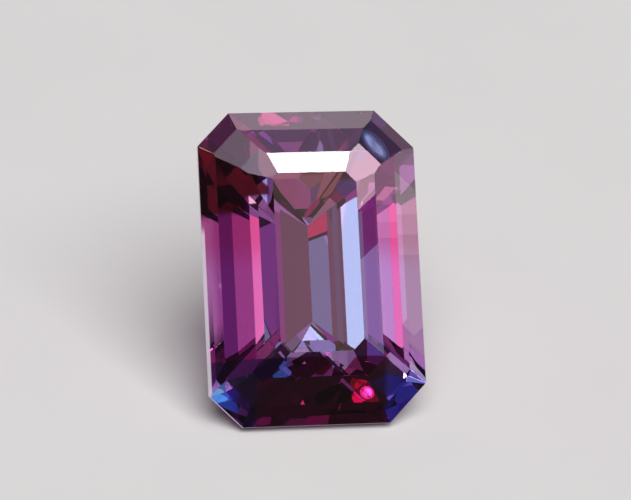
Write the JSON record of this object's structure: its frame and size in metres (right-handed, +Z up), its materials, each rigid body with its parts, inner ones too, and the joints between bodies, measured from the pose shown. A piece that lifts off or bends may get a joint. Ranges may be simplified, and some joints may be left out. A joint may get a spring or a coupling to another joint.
{
  "type": "faceted gemstone",
  "caption": "Loose alexandrite in an elongated octagonal step cut, with a flat table, stepped crown, thin girdle and deep keeled pavilion.",
  "frame": {"origin": "middle of the stone's box in plan, at the height of the surface it lies on", "axes": "+Z up; the stone lies on the middle pavilion facet of its foot, so its table leans towards -Y; +X is the right-hand long side as seen from the table"},
  "size_m": [0.011, 0.0116, 0.012],
  "materials": {
    "alexandrite": "polished purple crystal, bluish violet to red by the length of the light's way through it"
  },
  "bodies": {
    "root": {"faceted_stone": "alexandrite"}
  },
  "joints": []
}
